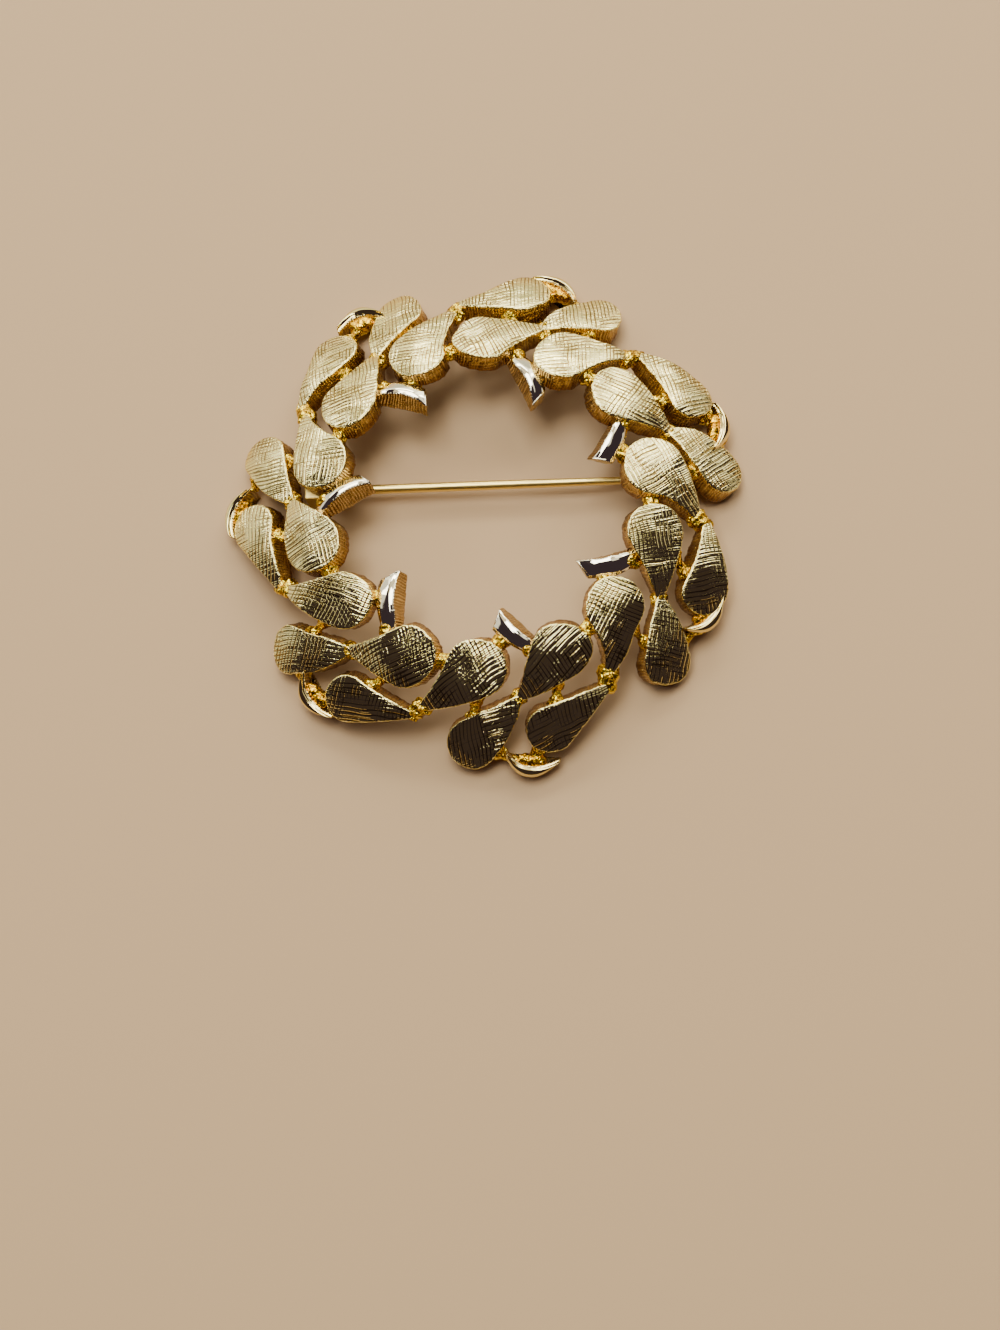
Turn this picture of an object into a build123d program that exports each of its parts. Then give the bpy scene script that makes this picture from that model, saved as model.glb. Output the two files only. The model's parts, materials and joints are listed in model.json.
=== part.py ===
"""Wreath brooch: a cast ring of seven leaf sprays with a hinged pin on its back.

The wreath's axis is Z and its face looks up. The brooch rests on z = 0, on the feet of its
outer bars, and the pin lies along X under the ring.
"""
from build123d import *
from collections import namedtuple
from math import acos, cos, hypot, radians, sin, sqrt
import os

# Ring of sprays
SPRAYS = 7
FIRST_SPRAY = 83.5          # direction of the first spray's mark, in degrees from +X
RING_R = 24.3               # from the axis to the middle of an outer bar
RIM_Z = 2.0                 # height of the outer bars' faces above the surface it rests on
DOME_R = 1.81 * RING_R      # radius of the dome that all faces follow

# Leaves
LEAF_T = 2.2
INNER_LEAF_W = 0.226 * RING_R
OUTER_LEAF_W = 0.193 * RING_R
LEAF_TIP_R = 0.35
LEAF_CROWN_R = 16.0         # radius of a leaf's rounded face
LEAF_RISE = 0.2             # how far the crown stands above the dome
OUTER_B_SINK = 0.6          # how far the lower outer leaf's round end lies below the dome
SIDE_MEETING_SINK = 0.5     # the same at the meeting of its tip

# Inner bars
INNER_BAR_W = 1.4
INNER_BAR_T = 1.9
INNER_BAR_LEAN = 28.0       # degrees that its face leans clockwise
INNER_BAR_BASE_SINK = 0.3   # below the dome at the leaf
INNER_BAR_END_SINK = 1.4    # below the dome at the free end
INNER_BAR_CROWN_R = 9.0
INNER_BAR_SLANT_AT = 0.85   # share of the length where the slanted end starts
INNER_BAR_BELLY_AT = 0.45   # share of the length where the swelling side is widest
INNER_BAR_BELLY = 1.15      # width there, as a share of INNER_BAR_W
INNER_BAR_ROOT = 0.5        # the swelling side at the leaf, as the same share
INNER_BAR_HOLLOW = 0.8      # the other side at mid length, as the same share

# Outer bars
OUTER_BAR_L = 0.202 * RING_R
OUTER_BAR_W = 1.45
OUTER_BAR_END_W = 0.35
OUTER_BAR_BOW = 0.5         # how far its inner side bows outward
OUTER_BAR_TURN = 23.5       # degrees that it is turned from the rim's tangent
OUTER_BAR_CROWN_R = 9.0

# Ties left by the casting's runners
TIE_R = 0.55
TIE_DEPTH = 1.15            # below the faces, measured along the dome's radius
TRIM_OVER = 0.1             # how far a wall passes the ball that trims its face

# Pin stem, eye and rivet
PIN_Y = 3.0                 # the pin passes beside the wreath's centre
PIN_Z = 1.55
HINGE_X = -0.658 * RING_R   # behind the inner leaves, as the catch is
CATCH_X = 0.675 * RING_R
POINT_X = 0.778 * RING_R    # the stem's point, past the catch and short of the outer leaves
STEM_ROOT_D = 1.1           # at the eye
STEM_ROOT_L = 3.0
STEM_D = 0.9                # along the straight stretch
STEM_STRAIGHT_L = 13.0
STEM_CATCH_D = 0.66         # where the stem lies in the catch
STEM_POINT_D = 0.16
EYE_D = 1.9
EYE_W = 1.5
RIVET_D = 0.9
RIVET_PROUD = 0.12
RUNNING_CLEARANCE = 0.03    # radial, eye on rivet
SIDE_CLEARANCE = 0.08       # eye to each ear

# Hinge bracket and catch
EAR_T = 0.6
EAR_D = 2.1
PAD_L = 3.4
PAD_SIDE = 0.15             # how far the pad stands past the ears
PAD_CLEARANCE = 0.15        # from the eye up to the pad
CATCH_L = 2.2
CATCH_PRONG_T = 0.75
CATCH_PRONG_DROP = 0.85     # below the stem's centre line
CATCH_CLEARANCE = 0.12      # stem to each prong
CATCH_SEAT_GAP = 0.06       # stem to the root of the slot

# One spray. Each place is a distance from the axis as a share of RING_R, a turn clockwise from
# the spray's mark as a share of STEP, and a sink below the dome. A leaf runs from the middle
# of its round end to its tip, and a bow is how far a side swells, as a share of its width.
STEP = 360.0 / SPRAYS
Place = namedtuple("Place", "share turn sink", defaults=(0.0,))
SIDE_MEETING = Place(0.773, 0.210, SIDE_MEETING_SINK)   # tips of inner_a and outer_b
NEXT_MEETING = Place(0.831, 0.706)                      # tip of inner_b, by the next spray
LAST_MEETING = Place(NEXT_MEETING.share, NEXT_MEETING.turn - 1)
OUTER_A_TIP = Place(0.868, -0.260)

Leaf = namedtuple("Leaf", "name round_end tip width left_bow right_bow")
LEAVES = [
    Leaf("inner_a", Place(0.675, -0.128), SIDE_MEETING, INNER_LEAF_W, 0.00, 0.00),
    Leaf("inner_b", Place(0.663, 0.432), NEXT_MEETING, INNER_LEAF_W, 0.02, -0.06),
    Leaf("outer_a", Place(0.910, 0.070), OUTER_A_TIP, OUTER_LEAF_W, 0.00, 0.00),
    Leaf("outer_b", Place(0.922, 0.445, OUTER_B_SINK), SIDE_MEETING, OUTER_LEAF_W, 0.00, 0.09),
]
INNER_A, INNER_B, OUTER_A, OUTER_B = (leaf.round_end for leaf in LEAVES)
LAST_INNER_B = Place(INNER_B.share, INNER_B.turn - 1)
INNER_BAR_BASE = Place(0.628, 0.106, INNER_BAR_BASE_SINK)
INNER_BAR_END = Place(0.467, 0.395, INNER_BAR_END_SINK)
OUTER_BAR_MIDDLE = Place(1.0, 0.216)

# The bars were set by hand, so each spray's stand a little off. The turns are in degrees
# clockwise, and rim_out is how far the outer bar stands out, in millimetres.
Setting = namedtuple("Setting", "root_turn end_turn rim_turn rim_out")
SETTINGS = [
    Setting(1.2, 4.4, -0.5, 0.0),
    Setting(-1.5, -3.6, 2.3, -0.3),
    Setting(0.0, 1.0, -2.2, -0.6),
    Setting(-1.5, -3.6, -0.7, 0.6),
    Setting(-0.8, 1.0, 0.3, 0.0),
    Setting(2.7, 1.4, -1.8, 0.3),
    Setting(0.2, -0.4, 3.0, 0.3),
]

DOME_CENTRE = Vector(0, 0, RIM_Z - sqrt(DOME_R**2 - RING_R**2))


def dome_height(radius):
    return DOME_CENTRE.Z + sqrt(DOME_R**2 - radius**2)


def dome_point(place, depth=0.0):
    """The place's point, at the given depth under its face along the dome's radius."""
    radius = place.share * RING_R
    angle = radians(FIRST_SPRAY - place.turn * STEP)
    on_dome = Vector(radius * cos(angle), radius * sin(angle), dome_height(radius))
    inward = (DOME_CENTRE - on_dome).normalized()
    return on_dome + inward * depth - Vector(0, 0, place.sink)


def moved(place, turn, out=0.0):
    """The place turned clockwise by degrees and moved out by millimetres."""
    return Place(place.share + out / RING_R, place.turn + turn / STEP, place.sink)


def face_plane(start, end):
    """Plane from start towards end whose Z leaves the dome."""
    along = (end - start).normalized()
    outward = ((start + end) * 0.5 - DOME_CENTRE).normalized()
    up = (outward - along * outward.dot(along)).normalized()
    return Plane(origin=start, x_dir=along, z_dir=up)


def leaning_plane(start, end, lean):
    """Plane from start towards end whose Z leans left of upright by lean degrees."""
    along = (end - start).normalized()
    upright = (Vector(0, 0, 1) - along * along.Z).normalized()
    left = upright.cross(along)
    up = upright * cos(radians(lean)) + left * sin(radians(lean))
    return Plane(origin=start, x_dir=along, z_dir=up)


def crowned(plane, outline, middle_x, crown_r, rise, depth):
    """Wall of the outline, down to depth, with a face rounded like a ball above middle_x."""
    wall = extrude(Pos(0, 0, -depth) * outline, depth + rise + TRIM_OVER)
    ball = Pos(middle_x, 0, rise - crown_r) * Sphere(crown_r)
    return plane * (wall & ball)


def swollen(start, end, bow):
    """Line from start to end that swells to its right by bow."""
    if bow == 0:
        return Line(start, end)
    across = (end - start).normalized()
    middle = (start + end) * 0.5 + Vector(across.Y, -across.X) * bow
    return ThreePointArc(start, middle, end)


def leaf_outline(length, leaf):
    """Round end about the origin and tip at the given length, on X."""
    end_r = leaf.width / 2
    spread = acos((end_r - LEAF_TIP_R) / length)
    c, s = cos(spread), sin(spread)
    left = swollen(Vector(length + LEAF_TIP_R * c, LEAF_TIP_R * s), Vector(end_r * c, end_r * s),
                   leaf.left_bow * leaf.width)
    right = swollen(Vector(end_r * c, -end_r * s), Vector(length + LEAF_TIP_R * c, -LEAF_TIP_R * s),
                    leaf.right_bow * leaf.width)
    tip = ThreePointArc(right @ 1, Vector(length + LEAF_TIP_R, 0), left @ 0)
    back = ThreePointArc(left @ 1, Vector(-end_r, 0), right @ 0)
    return make_face([left, back, right, tip])


def build_leaf(leaf):
    start = dome_point(leaf.round_end)
    end = dome_point(leaf.tip)
    length = (end - start).length
    middle_x = (length - leaf.width / 2) / 2
    outline = leaf_outline(length, leaf)
    return crowned(face_plane(start, end), outline, middle_x, LEAF_CROWN_R, LEAF_RISE, LEAF_T)


def build_inner_bar(root, tip):
    """Blade that is straight on one side and swells to a slanted free end on the other."""
    start = dome_point(root)
    end = dome_point(tip)
    length = (end - start).length
    half = INNER_BAR_W / 2
    far = INNER_BAR_BELLY * half
    hollow = -INNER_BAR_HOLLOW * half
    shoulder = (-half, INNER_BAR_ROOT * half)
    crest = (INNER_BAR_BELLY_AT * length, far)
    belly = ThreePointArc((INNER_BAR_SLANT_AT * length, half), crest, shoulder)
    wall_side = ThreePointArc((-half, -half), (length / 2, hollow), (length, -half))
    slant = Line(wall_side @ 1, belly @ 0)
    back = Line(belly @ 1, wall_side @ 0)
    outline = make_face([belly, back, wall_side, slant])
    plane = leaning_plane(start, end, INNER_BAR_LEAN)
    return crowned(plane, outline, length / 2, INNER_BAR_CROWN_R, LEAF_RISE, INNER_BAR_T)


def build_outer_bar(place):
    """Crescent that leans out with the dome and stands on the resting surface."""
    middle = dome_point(place)
    heading = radians(FIRST_SPRAY - place.turn * STEP - 90 - OUTER_BAR_TURN)
    ahead = Vector(cos(heading), sin(heading), 0)
    up = (middle - DOME_CENTRE).normalized()
    along = (ahead - up * ahead.dot(up)).normalized()
    plane = Plane(origin=middle, x_dir=along, z_dir=up)
    half = OUTER_BAR_L / 2
    near = -OUTER_BAR_W / 2
    far = OUTER_BAR_W / 2
    inside = ThreePointArc((-half, near - OUTER_BAR_BOW), (0, near), (half, near - OUTER_BAR_BOW))
    corner_y = near - OUTER_BAR_BOW + OUTER_BAR_END_W
    outside = ThreePointArc((half, corner_y), (0, far), (-half, corner_y))
    ends = [Line(inside @ 1, outside @ 0), Line(outside @ 1, inside @ 0)]
    outline = make_face([inside, outside] + ends)
    reach = (middle.Z + OUTER_BAR_W) / up.Z
    return crowned(plane, outline, 0, OUTER_BAR_CROWN_R, LEAF_RISE, min(reach, OUTER_BAR_CROWN_R))


def build_tie(first, last):
    """Rod between two places, hidden in the middle of what it joins."""
    start = dome_point(first, TIE_DEPTH)
    end = dome_point(last, TIE_DEPTH)
    plane = Plane(origin=start, z_dir=end - start)
    span = (end - start).length
    return plane * Cylinder(TIE_R, span, align=(Align.CENTER, Align.CENTER, Align.MIN))


def build_leaves():
    """The four leaves of the first spray and the ties between them."""
    pieces = [build_leaf(leaf) for leaf in LEAVES]
    pairs = [(INNER_A, OUTER_A), (INNER_B, OUTER_B), (LAST_INNER_B, INNER_A)]
    pairs.append((LAST_MEETING, OUTER_A_TIP))
    pieces += [build_tie(first, last) for first, last in pairs]
    return pieces[0].fuse(*pieces[1:])


def build_bars(setting):
    """The two bars of the first spray as they are set, and their ties to the leaves."""
    root = moved(INNER_BAR_BASE, setting.root_turn)
    tip = moved(INNER_BAR_END, setting.end_turn)
    rim = moved(OUTER_BAR_MIDDLE, setting.rim_turn, setting.rim_out)
    hold = Place(*((a + b) / 2 for a, b in zip(root, tip)))
    pieces = [build_inner_bar(root, tip), build_outer_bar(rim)]
    pieces += [build_tie(hold, INNER_B), build_tie(OUTER_A, rim), build_tie(OUTER_B, rim)]
    return pieces


PAD_UNDERSIDE = PIN_Z + EYE_D / 2 + PAD_CLEARANCE
EAR_GAP = EYE_W + 2 * SIDE_CLEARANCE
EARS_W = EAR_GAP + 2 * EAR_T


def soldered_pad(x, length, width):
    """Block on the wreath's back that reaches half way into the leaves above it."""
    top = dome_height(hypot(x, PIN_Y)) - LEAF_T / 2
    height = top - PAD_UNDERSIDE
    return Pos(x, PIN_Y, PAD_UNDERSIDE + height / 2) * Box(length, width, height)


def build_hinge_bracket():
    pad = soldered_pad(HINGE_X, PAD_L, EARS_W + 2 * PAD_SIDE)
    bracket = pad
    for side in (-1, 1):
        y = PIN_Y + side * (EAR_GAP + EAR_T) / 2
        rise = PAD_UNDERSIDE - PIN_Z
        ear = Pos(HINGE_X, y, PIN_Z) * Rot(90, 0, 0) * Cylinder(EAR_D / 2, EAR_T)
        web = Pos(HINGE_X, y, PIN_Z + rise / 2) * Box(EAR_D, EAR_T, rise)
        bracket = bracket.fuse(ear, web)
    hole = Pos(HINGE_X, PIN_Y, PIN_Z) * Rot(90, 0, 0) * Cylinder(RIVET_D / 2, EARS_W)
    return bracket - hole


def build_catch():
    """Fork whose mouth looks away from the wreath, so that the stem can swing out."""
    slot_w = STEM_CATCH_D + 2 * CATCH_CLEARANCE
    width = slot_w + 2 * CATCH_PRONG_T
    seat = PIN_Z + STEM_CATCH_D / 2 + CATCH_SEAT_GAP
    pad = soldered_pad(CATCH_X, CATCH_L, width)
    foot = PIN_Z - CATCH_PRONG_DROP
    fork_h = PAD_UNDERSIDE - foot
    fork = Pos(CATCH_X, PIN_Y, foot + fork_h / 2) * Box(CATCH_L, width, fork_h)
    slot = Pos(CATCH_X, PIN_Y, (foot + seat) / 2) * Box(CATCH_L, slot_w, seat - foot)
    return pad.fuse(fork) - slot


def build_wreath():
    leaves = build_leaves()
    sprays = []
    for number in range(SPRAYS):
        bars = build_bars(SETTINGS[number % len(SETTINGS)])
        sprays.append(Rot(0, 0, -STEP * number) * leaves.fuse(*bars))
    casting = sprays[0].fuse(*sprays[1:])
    above = Pos(0, 0, DOME_R / 2) * Box(4 * RING_R, 4 * RING_R, DOME_R)
    casting = casting & above
    return casting.fuse(build_hinge_bracket(), build_catch())


def build_pin_stem():
    """Wire with an eye on the rivet, straight and then tapered to its point past the catch."""
    to_catch = CATCH_X - HINGE_X
    straight_end = STEM_ROOT_L + STEM_STRAIGHT_L
    taper = (STEM_D - STEM_CATCH_D) / (to_catch - straight_end)
    shaft_end = to_catch + CATCH_L / 2
    end_d = STEM_CATCH_D - taper * CATCH_L / 2
    length = POINT_X - HINGE_X
    steps = [(0, STEM_ROOT_D), (STEM_ROOT_L, STEM_D), (straight_end, STEM_D)]
    steps += [(shaft_end, end_d), (length, STEM_POINT_D)]
    side = Polyline((0, 0), *((x, across / 2) for x, across in steps), (length, 0), close=True)
    wire = revolve(make_face(side), Axis.X)
    eye = Rot(90, 0, 0) * Cylinder(EYE_D / 2, EYE_W)
    hole = Rot(90, 0, 0) * Cylinder(RIVET_D / 2 + RUNNING_CLEARANCE, EYE_W)
    return Pos(HINGE_X, PIN_Y, PIN_Z) * (eye.fuse(wire) - hole)


def build_hinge_rivet():
    length = EARS_W + 2 * RIVET_PROUD
    return Pos(HINGE_X, PIN_Y, PIN_Z) * Rot(90, 0, 0) * Cylinder(RIVET_D / 2, length)


NODES = {
    "wreath": build_wreath,
    "pin_stem": build_pin_stem,
    "hinge_rivet": build_hinge_rivet,
}

os.makedirs("parts", exist_ok=True)
for name, build in NODES.items():
    export_step(build(), f"parts/{name}.step")
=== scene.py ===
"""Wreath brooch: cast sprays of engraved leaves with polished bars, and a hinged pin.

Sizes are in metres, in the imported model's frame: the wreath's axis is Z, its face looks up,
and the pin lies along X under the ring.
"""
from collections import namedtuple
from math import acos, cos, exp, hypot, pi, radians, sin, sqrt, tau
import json

from bpy.props import FloatProperty, FloatVectorProperty, IntProperty, PointerProperty
from bpy.types import Operator, Panel, PropertyGroup
from mathutils import Matrix, Vector
import bmesh
import bpy
import numpy as np


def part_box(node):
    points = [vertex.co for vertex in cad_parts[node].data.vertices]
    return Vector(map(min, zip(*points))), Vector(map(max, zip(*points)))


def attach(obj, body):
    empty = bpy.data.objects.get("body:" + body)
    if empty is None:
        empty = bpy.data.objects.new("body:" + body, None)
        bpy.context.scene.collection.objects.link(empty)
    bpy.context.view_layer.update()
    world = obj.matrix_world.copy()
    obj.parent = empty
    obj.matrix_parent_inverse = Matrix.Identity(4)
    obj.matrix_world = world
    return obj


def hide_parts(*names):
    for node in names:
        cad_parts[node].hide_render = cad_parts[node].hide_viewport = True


bl_info = {
    "name": "Wreath brooch",
    "version": (1, 0, 0),
    "blender": (4, 5, 0),
    "location": "View3D > Sidebar > Brooch",
    "description": "Builds an openwork wreath brooch with engraved leaves and a hinged pin",
    "category": "Object",
}

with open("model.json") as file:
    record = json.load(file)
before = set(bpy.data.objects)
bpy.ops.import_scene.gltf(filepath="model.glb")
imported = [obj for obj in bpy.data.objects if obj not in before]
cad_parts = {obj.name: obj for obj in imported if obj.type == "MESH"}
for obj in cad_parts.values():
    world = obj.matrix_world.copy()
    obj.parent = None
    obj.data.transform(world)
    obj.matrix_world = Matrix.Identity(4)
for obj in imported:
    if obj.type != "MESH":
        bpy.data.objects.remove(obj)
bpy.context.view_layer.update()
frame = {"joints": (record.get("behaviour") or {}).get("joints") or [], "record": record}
MM = 0.001

# Ring of sprays
SPRAYS = 7
STEP = 360.0 / SPRAYS
FIRST_SPRAY = 83.5  # direction of the first spray's mark, in degrees from +X
RING_R = 24.3 * MM  # from the axis to the middle of an outer bar
RIM_Z = 2.0 * MM  # height of the outer bars' faces above the floor
DOME_R = 1.81 * RING_R  # radius of the dome that all faces follow
DOME_CENTRE = Vector((0, 0, RIM_Z - sqrt(DOME_R**2 - RING_R**2)))

# Leaves
LEAF_T = 2.2 * MM
INNER_LEAF_W = 0.226 * RING_R
OUTER_LEAF_W = 0.193 * RING_R
LEAF_TIP_R = 0.35 * MM
LEAF_TIP_STEPS = 5
LEAF_CROWN_R = 16.0 * MM
FACE_RISE = 0.2 * MM  # how far a crowned face stands above the dome

# Bars
INNER_BAR_W = 1.75 * MM
INNER_BAR_T = 2.1 * MM
INNER_BAR_LEAN = 28.0  # degrees that its face leans clockwise
INNER_BAR_CREST = (0.45, 1.15)  # its widest place, as shares of length and half width
INNER_BAR_ROOT = 0.5  # its left side at the root, as a share of half width
INNER_BAR_SLANT = 0.85  # where its left side ends, as a share of length
INNER_BAR_HOLLOW = 0.8  # its right side's middle, as a share of half width
INNER_BAR_CROWN_R = 4.8 * MM
OUTER_BAR_L = 0.202 * RING_R
OUTER_BAR_W = 1.45 * MM
OUTER_BAR_END_W = 0.35 * MM
OUTER_BAR_BOW = 0.5 * MM
OUTER_BAR_TURN = 23.5  # degrees that it is turned from the rim's tangent
OUTER_BAR_CROWN_R = 9.0 * MM
BAR_FALL_POWER = 4  # keeps the middle of a bar's face flat
BAR_COLUMNS = 14  # mesh columns across a bar's face
TO_FLOOR = 9.0 * MM  # more than the depth at which the floor ends a wall

# Walls and rims of leaves and bars
RIM_ANGLES = (pi / 6, pi / 3, pi / 2)  # turns of the rounded rim's rings
WALL_RINGS = 9
FOOT_INSET = 0.6  # how far a wall's foot draws in, as a share of the rim
SHORT_EDGE = 1 / 50  # shorter steps of an outline are left out, in rims
WELD = 1e-8  # points closer than this are one

# Solder: ties left by the casting's runners, lumps where leaf tips meet, and the filling of
# the hollow in each outer bar's inner side, in a deeper orange that is a painted glow of
# reflected gold
TIE_R = 0.55 * MM
TIE_DEPTH = 1.15 * MM
TIE_STEPS = 24
TIE_WAIST = 0.8  # radius in the middle, in TIE_R
TIE_FLARE = 0.9  # growth towards a wall, in TIE_R
ROD_SIDES = 14
LUMP_FLAT = 0.75
ROOT_LUMP_DEPTH = 1.0 * MM
ROOT_LUMP_R = 0.8 * MM
CUP_HOLLOW = 0.4 * MM  # how far an outer bar's inner side is hollowed
CUP_INSET = 0.05 * MM  # how far the filling's axis lies inside that side
CUP_DEPTH = 0.95 * MM  # and how far below the bar's face
CUP_R = 0.7 * MM
CUP_L = 0.55 * OUTER_BAR_L
CUP_STEPS = 12
CUP_TAPER = 0.45  # share of its radius that the filling loses at its ends
SOFTEN_FACTOR = 0.6
SOFTEN_ROUNDS = 6

# Hinge, stem and catch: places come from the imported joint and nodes
HINGE = Vector(frame["joints"][0]["pos_m"])
STEM_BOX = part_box("pin_stem")
RIVET_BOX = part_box("hinge_rivet")
STEM_MOUNT = next(m for m in frame["record"]["mounts"] if m["name"] == "stem")
STEM_R = STEM_MOUNT["dims"]["r_mm"] * MM
STRAIGHT_L = STEM_MOUNT["dims"]["length_mm"] * MM
STRAIGHT_START = STEM_MOUNT["pos_m"][0] - STRAIGHT_L / 2
ROOT_R = 0.55 * MM
ROOT_X = HINGE.x + 0.6 * MM
POINT_R = 0.08 * MM
WIRE_STEP = 0.5 * MM  # mesh step along the wire
CATCH_X = 0.675 * RING_R
CATCH_L = 2.2 * MM
CATCH_STEM_R = 0.33 * MM
CATCH_PRONG_T = 0.75 * MM
CATCH_PRONG_DROP = 0.85 * MM
CATCH_PRONG_ROOT = 0.5 * MM  # how far a prong reaches up into the catch's seat
CATCH_CLEARANCE = 0.12 * MM
CATCH_SEAT_GAP = 0.06 * MM
CATCH_EDGE = 0.10 * MM
EYE_R = HINGE.x - STEM_BOX[0].x
EYE_W = STEM_BOX[1].y - STEM_BOX[0].y
EYE_EDGE = 0.14 * MM
RIVET_R = (RIVET_BOX[1].x - RIVET_BOX[0].x) / 2
RIVET_DOME = 0.10 * MM
RUNNING_CLEARANCE = 0.03 * MM
SIDE_CLEARANCE = 0.08 * MM
EAR_T = 0.6 * MM
EAR_R = 1.05 * MM
EAR_STEPS = 36
EAR_ROOT = 0.2 * MM  # how far an ear reaches up into the pad
EAR_GAP = EYE_W + 2 * SIDE_CLEARANCE
EARS_W = EAR_GAP + 2 * EAR_T
PAD_L = 3.4 * MM
PAD_SIDE = 0.15 * MM
PAD_CLEARANCE = 0.15 * MM
PAD_UNDERSIDE = HINGE.z + EYE_R + PAD_CLEARANCE
PAD_HIDDEN = 0.75 * MM  # how far the bracket's pad lies lower in the leaves
PAD_SLOPE = 0.10  # fall of the pad's top towards the camera's side
PAD_EDGE = 0.12 * MM
WIRE_SIDES = 32
EYE_SIDES = 48

# One spray, with each place as a share of RING_R, a turn clockwise as a share of STEP and a
# sink below the dome. A bow is how far a side swells, as a share of the leaf's width.
Place = namedtuple("Place", "share turn sink", defaults=(0.0,))
SIDE_MEETING = Place(0.773, 0.210, 0.5 * MM)
NEXT_MEETING = Place(0.831, 0.706)
LAST_MEETING = Place(NEXT_MEETING.share, NEXT_MEETING.turn - 1)
OUTER_A_TIP = Place(0.868, -0.260)

Leaf = namedtuple("Leaf", "name round_end tip width left_bow right_bow")
LEAVES = [
    Leaf("inner_a", Place(0.675, -0.128), SIDE_MEETING, INNER_LEAF_W, 0.00, 0.00),
    Leaf("inner_b", Place(0.663, 0.432), NEXT_MEETING, INNER_LEAF_W, 0.02, -0.06),
    Leaf("outer_a", Place(0.910, 0.070), OUTER_A_TIP, OUTER_LEAF_W, 0.00, 0.00),
    Leaf("outer_b", Place(0.922, 0.445, 0.6 * MM), SIDE_MEETING, OUTER_LEAF_W, 0.00, 0.09),
]
INNER_A, INNER_B, OUTER_A, OUTER_B = (leaf.round_end for leaf in LEAVES)
LAST_INNER_B = Place(INNER_B.share, INNER_B.turn - 1)
INNER_BAR_BASE = Place(0.628, 0.106, 0.3 * MM)
INNER_BAR_END = Place(0.467, 0.395, 1.4 * MM)
OUTER_BAR_MIDDLE = Place(1.0, 0.216)

# Lumps of solder: place, depth and radius
LUMPS = [
    (SIDE_MEETING, 1.0 * MM, 0.95 * MM),
    (NEXT_MEETING, 1.05 * MM, 1.05 * MM),
    (OUTER_A_TIP, 1.05 * MM, 0.85 * MM),
]

# The bars as they were set by hand: turns in degrees clockwise, and how far an outer bar
# stands out
Setting = namedtuple("Setting", "root_turn end_turn rim_turn rim_out")
SETTINGS = [
    Setting(1.2, 4.4, -0.5, 0.0),
    Setting(-1.5, -3.6, 2.3, -0.3 * MM),
    Setting(0.0, 1.0, -2.2, -0.6 * MM),
    Setting(-1.5, -3.6, -0.7, 0.6 * MM),
    Setting(-0.8, 1.0, 0.3, 0.0),
    Setting(2.7, 1.4, -1.8, 0.3 * MM),
    Setting(0.2, -0.4, 3.0, 0.3 * MM),
]

# Surfaces: noise scales are per metre, stretches are per axis, and the ranges are where a
# smooth step starts and ends
FLAT = (1.0, 1.0, 0.0)
RELIEF_STRETCH = (1.0, 1.0, 0.16)
RELIEF_LEVEL = 0.56  # furrows are cut where the noise is below this
FURROW_STRETCH = (1.0, 1.0, 0.12)
FIBRE_STRETCH = (0.16, 0.16, 1.3)
DRAWN_STRETCH = (0.08, 1.0, 1.0)
DRAWN_SCALE = 5200.0
WEAR = (900.0, 0.16)  # scale, and how much it changes the roughness
FILE_STROKE = 0.29 * MM
FILE_SWAY = (700.0, 1.6)  # scale, and width in strokes
FILE_DEPTH = 0.30
CAST_FURROW = 0.28 * MM
CAST_GRAIN = (2.2, 0.15)  # scale and height against the furrows'
CAST_PATCH = (0.1, 0.42, 0.58)  # scale against the furrows', and range from furrows to fibres
FILE_STRENGTH = (0.3, 0.9)  # least strength of a file stroke, and its spread
HOLLOW = (0.40, 0.58, 1.0, 0.0)  # darkness of the furrows by their height
VALLEY = (0.15, 0.75, 1.0, 0.0)  # darkness of the file strokes by their height
DARKNESS = (1.1, 0.35)  # of cast walls, and how much less filed ones are darkened
# Walls and undersides darken towards the floor: partly grime, partly painted shade where light
# hardly reaches
SMUDGE = (900.0, 0.9)  # scale, and how far the edge of the grime and painted shade wanders
GRIME_AND_SHADE_RANGE = (0.60, 1.35)
STAIN = (1100.0, 0.10)  # scale, and how much it changes the roughness
RIPPLE = (380.0, 0.03 * MM)  # scale and height, on polished faces
MOTTLE = (4200.0, 0.016 * MM)  # the same, on engraved faces
# Tint of the grime and painted shade at the walls' feet
GRIME_AND_SHADE_TINT = (0.40, 0.29, 0.23)
STROKE_TINT = (0.38, 0.29, 0.24)
TARNISH_TINT = (0.26, 0.20, 0.11)
FRESH_RANGE = (0.03, 0.25)
TARNISH_RANGE = (0.16, 0.66)
SMOOTHEST = 0.03  # least roughness

# Engraving: a cut's seed, lines against the first cut's, half width of a line in pitches, and
# the range of the noise in which its lines break off
Cut = namedtuple("Cut", "seed finer width broken whole")
FIRST_CUT = Cut(11.0, 1.0, 0.30, 0.24, 0.42)
SECOND_CUT = Cut(47.0, 1.05, 0.30, 0.24, 0.42)
FAINT_CUT = Cut(29.0, 1.9, 0.40, 0.36, 0.56)
FAINT_DEPTH = 0.60
LEAN = (radians(68), radians(70))  # least direction of a leaf's first cut, and its spread
CROSSING = radians(82)
HATCH_SCALE = 420.0
HATCH_SWAY = 1.3  # in pitches
CELL_STEP = 7.3  # keeps the breaks of two lines apart
LEAF_STEPS = (0.0131, 0.0171)  # keep the patches and the pressure of two leaves apart
KIND_STEP = 13.0  # keeps the leaves of two kinds apart
PRESSURE = (0.38, 0.62, 0.70, 1.25)
FIRST_FADE = (0.50, 0.62, 1.0, 0.2)
SECOND_FADE = (0.40, 0.52, 0.2, 1.0)

# Stage
FLOOR_HALF = 1.5
FLOOR_ROUGH = 0.75
ROOM_COLOUR = (1.0, 0.70, 0.90)
ROOM_STRENGTH = 0.042
DAYLIGHT = (1.0, 0.97, 0.88)
SKY = (1.0, 0.95, 0.80)
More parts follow.
